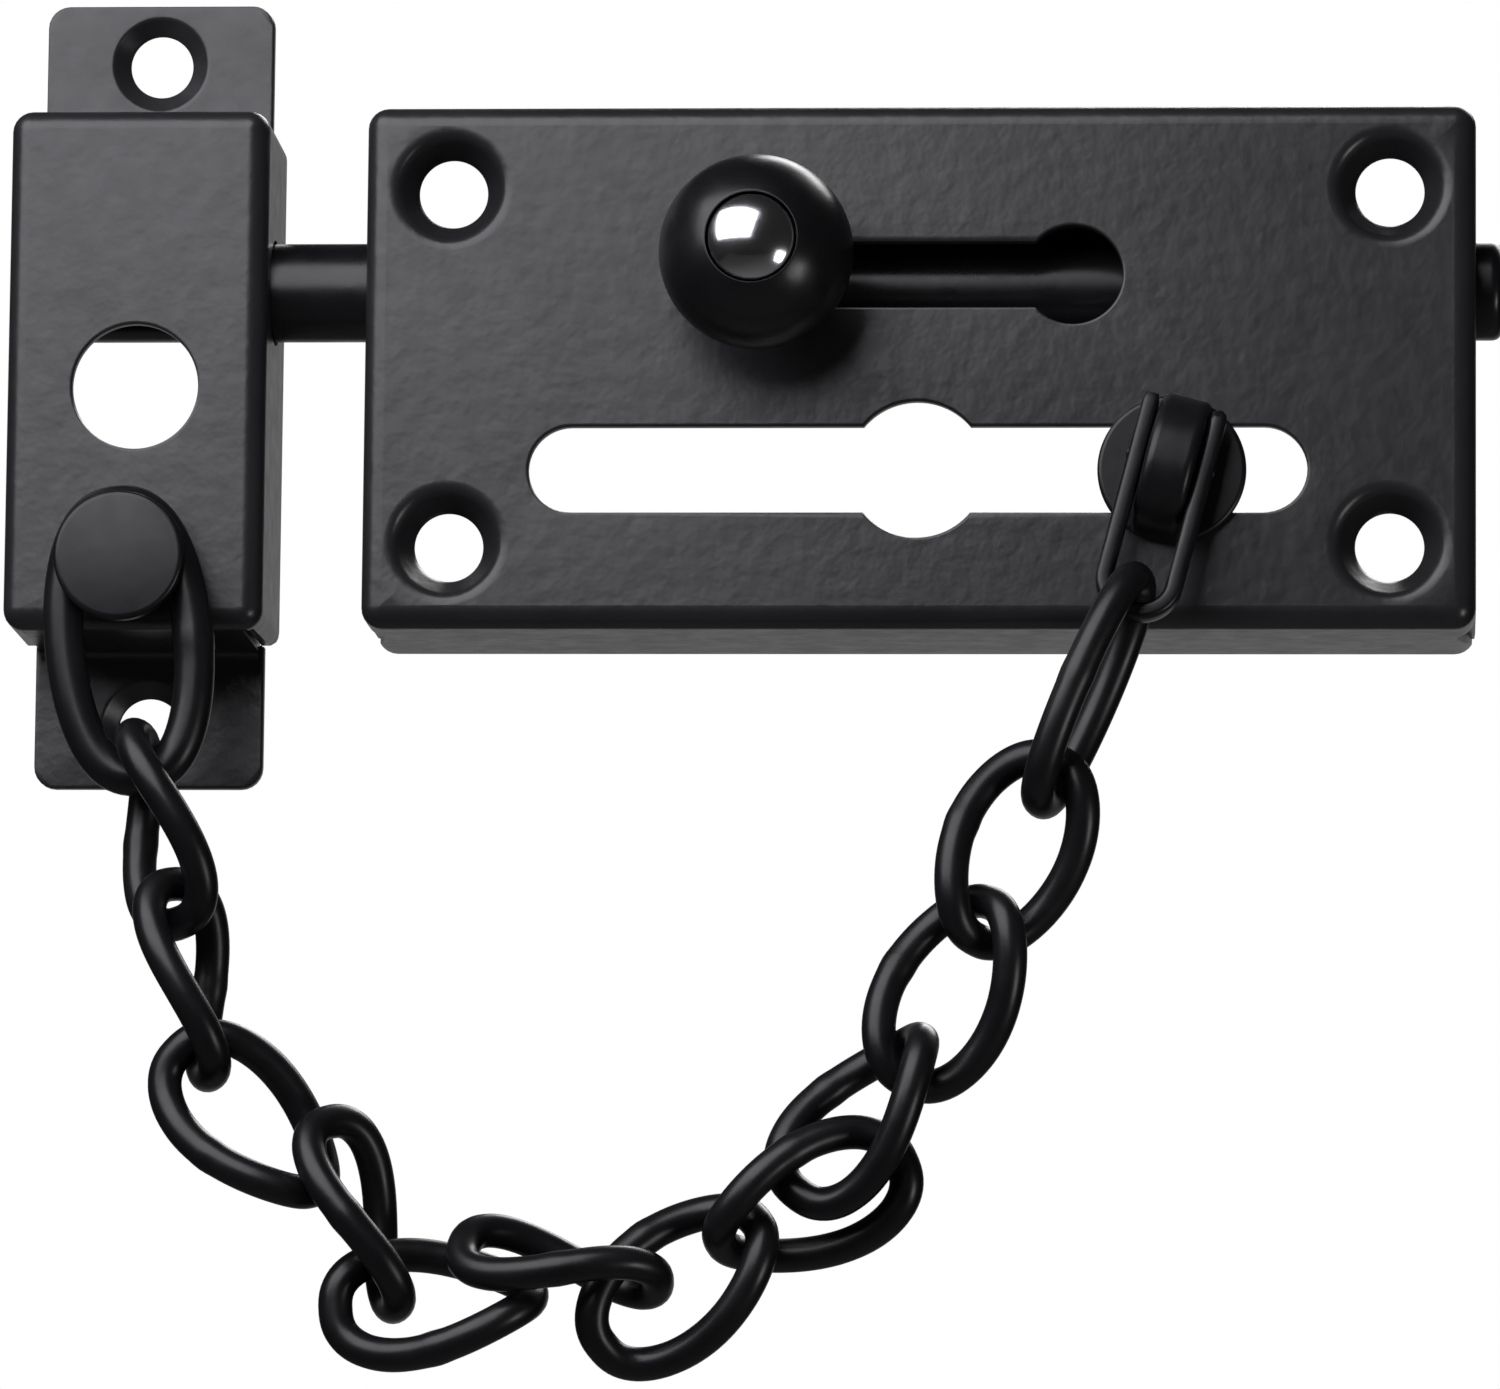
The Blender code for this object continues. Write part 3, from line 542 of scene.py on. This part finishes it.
def flange(side):
    """A screw flange and the bend that joins it to the strike box's end wall."""
    plate_z, root_z, bend_z = STRIKE_HALF_Z - 0.7, STRIKE_HALF_Z - 0.4, STRIKE_HALF_Z + 1.0
    low_z, high_z = sorted((side * plate_z, side * FLANGE_TOP))
    ends, feet = [FLANGE_CORNER] * 2, [0.3] * 2
    radii = ends + feet if side > 0 else feet + ends

    def outline(inset):
        return corners((STRIKE_X - FLANGE_HALF + inset, low_z + inset),
                       (STRIKE_X + FLANGE_HALF - inset, high_z - inset),
                       [max(radius - inset, LEAST_CORNER) for radius in radii])

    sink = softened(((2.0, -SHEET, 0), (1.62, -SHEET, 0.25), (0.05, -0.2, 0.2), (0.0, -0.1, 0),
                     (0.2, 0.0, 0)))
    hole = round_hole(STRIKE_X, side * FLANGE_SCREW_Z, FLANGE_SCREW_RADIUS)
    plate = sheet(outline, sheared(-SHEET, 0.0), [(hole, sink)])
    front, back = -2.5, -1.0
    bend = [(front - 0.1, side * root_z)]
    bend += [(front + sin(a), side * (bend_z - cos(a))) for a in (pi * k / 12 for k in range(7))]
    bend += [(back, side * bend_z), (back, side * root_z)]
    half = STRIKE_WALL_HALF - 0.05
    return [("UNION", plate), ("UNION", prism(bend, STRIKE_X - half, STRIKE_X + half))]


def build_strike():
    bore = sheared(STRIKE_FRONT, STRIKE_FRONT + SHEET)
    holes = [(round_hole(STRIKE_X, STRIKE_HOLE_Z, STRIKE_HOLE_RADIUS, 80), bore),
             (round_hole(STUD_X, STUD_Z, WASHER_HOLE), bore)]
    shell = tub((STRIKE_X - STRIKE_HALF_X, -STRIKE_HALF_Z), (STRIKE_X + STRIKE_HALF_X, STRIKE_HALF_Z),
                STRIKE_FRONT, STRIKE_FLAP_END, holes)
    strike = piece("strike_shell", shell)
    steps = [("DIFFERENCE", cylinder(STRIKE_X, STRIKE_X + 20, ROD_WAY, ROD_LINE, "X"))]
    for side_x in (-1, 1):
        for side_z in (-1, 1):
            steps += strike_cut(side_x, side_z)
    steps += flange(1) + flange(-1)
    carve(strike, steps)
    weigh_normals(strike)
    fit(strike, "housing", "powder_black", "strike_box")


def build_stud():
    disc_back = END_LINK_Y - END_WIRE - GAP
    washer_front = STRIKE_FRONT + SHEET + GAP
    washer_back = washer_front + WASHER
    front, tail = disc_back - STUD_DISC, washer_back + GAP
    profile = ((front, 0, 0), (front, STUD_RADIUS, 0.55), (disc_back, STUD_RADIUS, 0.3),
               (disc_back, STUD_POST, 0.1), (tail, STUD_POST, 0.1), (tail, 3.6, 0.2),
               (tail + 0.9, 2.4, 0.5), (tail + 0.7, 0, 0))
    stud = piece("stud_disc", lathe(profile, (STUD_X, 0, STUD_Z), sides=96))
    fit(stud, "housing", "chain_black", "chain_stud")
    ring = ((washer_front, WASHER_HOLE, 0.1), (washer_front, WASHER_RADIUS, 0.2),
            (washer_back, WASHER_RADIUS, 0.2), (washer_back, WASHER_HOLE, 0.1))
    washer = piece("stud_backing_washer", lathe(ring, (STUD_X, 0, STUD_Z), closed=True))
    fit(washer, "housing", "zinc_steel", "stud_washer")


# ---- bolt and knob ----


def build_bolt():
    left, right = ROD_LOW.x, ROD_HIGH.x
    profile = ((left, 0, 0), (left, ROD_RADIUS, 1.1), (right, ROD_RADIUS, 1.1), (right, 0, 0))
    rod = piece("bolt_bar", lathe(profile, ROD_LINE, "X", 96, steps=8))
    seat = cylinder(-20, SEAT_Y, SEAT_RADIUS, KNOB_LINE)
    hole = cylinder(-14, -6, BORE, KNOB_LINE, sides=48)
    carve(rod, [("DIFFERENCE", seat), ("DIFFERENCE", hole)])
    weigh_normals(rod)
    fit(rod, "bolt", "knob_black", "bolt_rod")


def build_knob():
    lip_radius = BUTTON_RADIUS + 0.15
    lip = BALL_Y - (BALL_RADIUS**2 - lip_radius**2) ** 0.5
    foot = BALL_Y + (BALL_RADIUS**2 - BALL_FOOT_RADIUS**2) ** 0.5
    start, end = (pi - acos((BALL_Y - y) / BALL_RADIUS) for y in (lip, foot))
    ball = [(y, radius, 0) for y, radius in arc((BALL_Y, 0), BALL_RADIUS, start, end, 56)]
    ball[0] = (*ball[0][:2], 0.3)
    ball += [(foot, BORE, 0.1), (BALL_SEAT_Y, BORE, 0.1), (BALL_SEAT_Y, lip_radius, 0.1)]
    knob = piece("knob_sphere", lathe(ball, KNOB_LINE, sides=96, closed=True, steps=6))
    fit(knob, "bolt", "knob_black", "knob_ball")


def build_button():
    dome = (BUTTON_RADIUS**2 + DOME_RISE**2) / (2 * DOME_RISE)
    pole = DOME_EDGE_Y - DOME_RISE
    reach = asin((BUTTON_RADIUS - 0.25) / dome)
    turns = (reach * k / 24 for k in range(25))
    profile = [(pole + dome * (1 - cos(a)), dome * sin(a), 0) for a in turns]
    profile += [(DOME_EDGE_Y + 0.05, BUTTON_RADIUS, 0.2), (SKIRT_Y, BUTTON_RADIUS, 0.1),
                (SKIRT_Y, HOLLOW_RADIUS, 0.1), (HOLLOW_Y, HOLLOW_RADIUS, 0.1), (HOLLOW_Y, 0, 0)]
    button = piece("chrome_button", lathe(profile, KNOB_LINE, sides=96))
    fit(button, "button", "chrome", "push_button")


def build_spring():
    """The coil under the button, made at one fixed length; on the real bolt it flattens as the button
    goes in.
    """
    low, high = (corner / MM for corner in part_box("button_spring"))
    wire, turns, per_turn = 0.25, 4, 28
    radius = (high.x - low.x) / 2 - wire
    points = []
    for k in range(turns * per_turn + 1):
        a = 2 * pi * k / per_turn
        y = low.y + wire + (high.y - low.y - 2 * wire) * k / (turns * per_turn)
        points.append(Vector((KNOB_X + radius * cos(a), y, ROD_Z + radius * sin(a))))
    spring = piece("coil_spring", sweep(points, round_section(wire, 10)))
    fit(spring, "bolt", "zinc_steel", "button_spring")
    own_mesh(spring)


# ---- slider, strap and chain ----


def strap_frame():
    """The strap's own direction, down and forward, and the direction of its pin."""
    lean, tilt = radians(STRAP_LEAN), radians(STRAP_TILT)
    along = Vector((sin(lean) * cos(tilt), -sin(tilt), -cos(lean) * cos(tilt)))
    return along, Vector((cos(lean), 0, sin(lean)))


def leaned(shape, at):
    """Turns a shape that was made along X by the strap's lean, and moves it to a place."""
    bmesh.ops.transform(shape, matrix=Matrix.Rotation(-radians(STRAP_LEAN), 4, "Y"), verts=shape.verts)
    bmesh.ops.translate(shape, vec=at, verts=shape.verts)
    return shape


def reopen(obj):
    """A piece's mesh as a bmesh in millimetres again; the piece itself goes."""
    shape = bmesh.new()
    shape.from_mesh(obj.data)
    bmesh.ops.scale(shape, vec=(1 / MM, 1 / MM, 1 / MM), verts=shape.verts)
    bpy.data.objects.remove(obj, do_unlink=True)
    return shape


def build_slider():
    where = (SLIDER_X, 0, SLIDER_Z)
    front = CASE_LOW.y
    inside = front + SHEET + GAP
    foot = inside + 1.5
    neck = ((front, 1.9, 0.1), (front, SLIDER_NECK, 0.1), (inside, SLIDER_NECK, 0.1),
            (inside, SLIDER_FOOT, 0.3), (foot, SLIDER_FOOT, 0.3), (foot, 1.9, 0.1))
    button = piece("slider_foot", lathe(neck, where, closed=True))
    fit(button, "slider", "powder_black", "slider_button")

    back = front - GAP
    face = back - HEAD_THICK
    disc = ((face, 0, 0), (face, HEAD_RADIUS, 0.45), (back, HEAD_RADIUS, 0.2), (back, 1.6, 0.05),
            (inside, 1.6, 0.1), (inside, 0, 0))
    head = piece("slider_disc", lathe(disc, where, sides=96))
    wheel = ((-LOBE_HALF, 0, 0), (-LOBE_HALF, LOBE_RADIUS, 0.9), (LOBE_HALF, LOBE_RADIUS, 0.9),
             (LOBE_HALF, 0, 0))
    lobe = leaned(lathe(wheel, (0, 0, 0), "X", 96, steps=6), Vector((SLIDER_X, face + 0.4, SLIDER_Z)))
    behind = block((SLIDER_X - 9, face + 0.35, SLIDER_Z - 9), (SLIDER_X + 9, 0, SLIDER_Z + 9))
    front_half = reopen(carve(piece("lobe_half", lobe), [("DIFFERENCE", behind)]))
    across = strap_frame()[1] * 4
    pin = Vector((SLIDER_X, STRAP_PIN_Y, SLIDER_Z))
    hole = sweep([pin - across, pin, pin + across], round_section(PIN_HOLE))
    carve(head, [("UNION", front_half), ("DIFFERENCE", hole)])
    weigh_normals(head)
    fit(head, "strap", "chain_black", "slider_head")


def rounded_ends(share):
    """A bar narrows to a round end over the last of its length."""
    from_end = min(share, 1.0 - share) / 0.03
    return 1.0 if from_end >= 1.0 else 0.35 + 0.65 * (1.0 - (1.0 - from_end) ** 2) ** 0.5


def build_strap():
    """A flat bar bent round the lobe, with rounded ends, on a rivet that is filed flush."""
    along, across = strap_frame()
    centre = Vector((SLIDER_X, STRAP_PIN_Y, SLIDER_Z))
    straight = STRAP_LENGTH - STRAP_BEND
    side = [(-STRAP_TOP + (straight + STRAP_TOP) * k / 40, STRAP_SIDE) for k in range(40)]
    turns = (pi * k / 28 for k in range(29))
    bend = [(straight + STRAP_BEND * sin(a), STRAP_SIDE * cos(a)) for a in turns]
    spots = side + bend + [(u, -v) for u, v in reversed(side)]
    points = [centre + along * u + across * v for u, v in spots]
    wide, thick = STRAP_BAR
    bar = corners((-wide, -thick), (wide, thick), [0.5] * 4, 5)
    strap = piece("strap_loop", sweep(points, bar, bulge=rounded_ends, across=along.cross(across)))
    hole = sweep([centre - across * 6, centre, centre + across * 6], round_section(RIVET_HOLE))
    carve(strap, [("DIFFERENCE", hole)])
    fit(strap, "strap", "chain_black", "slider_bail")
    profile = ((-RIVET_REACH, 0, 0), (-RIVET_REACH, RIVET_RADIUS, 0.2), (RIVET_REACH, RIVET_RADIUS, 0.2),
               (RIVET_REACH, 0, 0))
    rivet = piece("strap_rivet", leaned(lathe(profile, (0, 0, 0), "X", 32), centre))
    fit(rivet, "strap", "chain_black", "bail_pin")


def link_line(link, middle_y, half_length, half_width, twist, steps=96):
    """The centre line of an oval link whose plane turns by `twist` degrees from end to end."""
    middle_x, middle_z, lean, roll = link
    along = Vector((sin(radians(lean)), 0, -cos(radians(lean))))
    across = Vector((cos(radians(lean)), 0, sin(radians(lean))))
    middle = Vector((middle_x, middle_y, middle_z))
    points = []
    for k in range(steps):
        a = 2 * pi * (k + 0.5) / steps
        u = half_length * sin(a)
        v = half_width * abs(cos(a)) ** 0.8 * (1 if cos(a) > 0 else -1)
        turn = radians(roll + twist * u / (2 * half_length))
        points.append(middle + along * u + across * v * cos(turn) + Vector((0, v * sin(turn), 0)))
    return points


def weld(share):
    """The butt weld halfway down one side of a link, as a slight swelling of the wire."""
    away = (share - 0.5) / 0.012
    return 1.0 + 0.05 / (1.0 + away**4)


def build_chain():
    links = [("long_link", LONG_LINK, LONG_SHAPE)]
    for k, link in enumerate(TWISTED_LINKS):
        links.append((f"link_{len(TWISTED_LINKS) - k:02d}", link, TWISTED_SHAPE))
    links.append(("end_link", END_LINK, END_SHAPE))
    for k, (name, link, (half_length, half_width, twist, wire)) in enumerate(links):
        y = CHAIN_FRONT_Y + (END_LINK_Y - CHAIN_FRONT_Y) * k / (len(links) - 1)
        points = link_line(link, y, half_length, half_width, twist)
        obj = piece(f"wire_{name}", sweep(points, round_section(wire), closed=True, bulge=weld))
        fit(obj, name, "chain_black", name)


# ---- stage, light and camera ----


def area_light(name, at, target, size, power, colour=(1.0, 1.0, 1.0)):
    """A light that faces a target, with its places and size in metres."""
    data = bpy.data.lights.new(name, "AREA")
    data.shape = "RECTANGLE"
    data.size, data.size_y = size
    data.energy = power
    data.color = colour
    light = bpy.data.objects.new(name, data)
    light.location = at
    light.rotation_euler = (Vector(target) - Vector(at)).to_track_quat("-Z", "Y").to_euler()
    bpy.context.scene.collection.objects.link(light)


def build_stage():
    shape = bmesh.new()
    bmesh.ops.create_grid(shape, x_segments=8, y_segments=8, size=FLOOR_HALF)
    bmesh.ops.translate(shape, vec=(0, 0, FLOOR_Z), verts=shape.verts)
    floor = piece("floor", shape)
    paper = bpy.data.materials.new("floor_paper")
    paper.use_nodes = True
    shader = paper.node_tree.nodes["Principled BSDF"]
    shader.inputs["Base Color"].default_value = (0.55, 0.55, 0.55, 1.0)
    shader.inputs["Roughness"].default_value = 0.8
    floor.data.materials.append(paper)


def build_world():
    """White where the camera sees past the object. For reflections it is a dim room, brighter towards
    the far side and darker below."""
    world = bpy.data.worlds.new("studio")
    bpy.context.scene.world = world
    world.use_nodes = True
    nodes, links = world.node_tree.nodes, world.node_tree.links
    nodes.clear()
    seen = nodes.new("ShaderNodeBackground")
    seen.inputs["Color"].default_value = (1.0, 1.0, 1.0, 1.0)
    room = nodes.new("ShaderNodeBackground")
    where = nodes.new("ShaderNodeTexCoord")
    split = nodes.new("ShaderNodeSeparateXYZ")
    links.new(where.outputs["Generated"], split.inputs["Vector"])
    depth = map_range(nodes, (0.80, 0.99), (0.02, 0.55))
    depth.interpolation_type = "SMOOTHSTEP"
    links.new(split.outputs["Y"], depth.inputs["Value"])
    height = map_range(nodes, (-0.8, -0.25), (0.25, 1.0))
    links.new(split.outputs["Z"], height.inputs["Value"])
    strength = nodes.new("ShaderNodeMath")
    strength.operation = "MULTIPLY"
    links.new(depth.outputs["Result"], strength.inputs[0])
    links.new(height.outputs["Result"], strength.inputs[1])
    links.new(strength.outputs[0], room.inputs["Strength"])
    ray = nodes.new("ShaderNodeLightPath")
    mix = nodes.new("ShaderNodeMixShader")
    links.new(ray.outputs["Is Camera Ray"], mix.inputs["Fac"])
    links.new(room.outputs["Background"], mix.inputs[1])
    links.new(seen.outputs["Background"], mix.inputs[2])
    out = nodes.new("ShaderNodeOutputWorld")
    links.new(mix.outputs["Shader"], out.inputs["Surface"])


def build_camera():
    data = bpy.data.cameras.new("camera")
    data.sensor_width = 36.0
    data.lens = CAMERA_LENS
    data.clip_end = 20.0
    camera = bpy.data.objects.new("camera", data)
    at, target = (Vector(place) * MM for place in (CAMERA_AT, CAMERA_TARGET))
    forward = (target - at).normalized()
    right = forward.cross(Vector((0, 0, 1))).normalized()
    up = right.cross(forward)
    roll = radians(CAMERA_ROLL)
    axes = (right * cos(roll) + up * sin(roll), up * cos(roll) - right * sin(roll), -forward)
    camera.matrix_world = Matrix.Translation(at) @ Matrix(axes).transposed().to_4x4()
    bpy.context.scene.collection.objects.link(camera)
    bpy.context.scene.camera = camera


build_camera()
build_world()
build_stage()
area_light("key", at=(-0.20, -0.26, 0.19), target=(-0.06, 0, 0.0), size=(0.47, 0.36), power=2.1,
           colour=(0.95, 0.95, 1.0))
area_light("card", at=(0.36, -0.25, -0.20), target=(0.0, 0, -0.02), size=(0.14, 0.14), power=0.35)
area_light("behind", at=(0.25, 0.8, 0.6), target=(-0.02, 0, -0.03), size=(0.6, 0.4), power=4.0)
bpy.context.scene.view_settings.view_transform = "Standard"

build_case()
build_guide()
build_strike()
build_stud()
build_bolt()
build_knob()
build_button()
build_spring()
build_slider()
build_strap()
build_chain()
for node in ("knob_stem", "button_pin", "cross_pin", "lock_collar"):
    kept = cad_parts[node]
    kept.data.materials.clear()
    kept.data.materials.append(FINISHES["zinc_steel"])
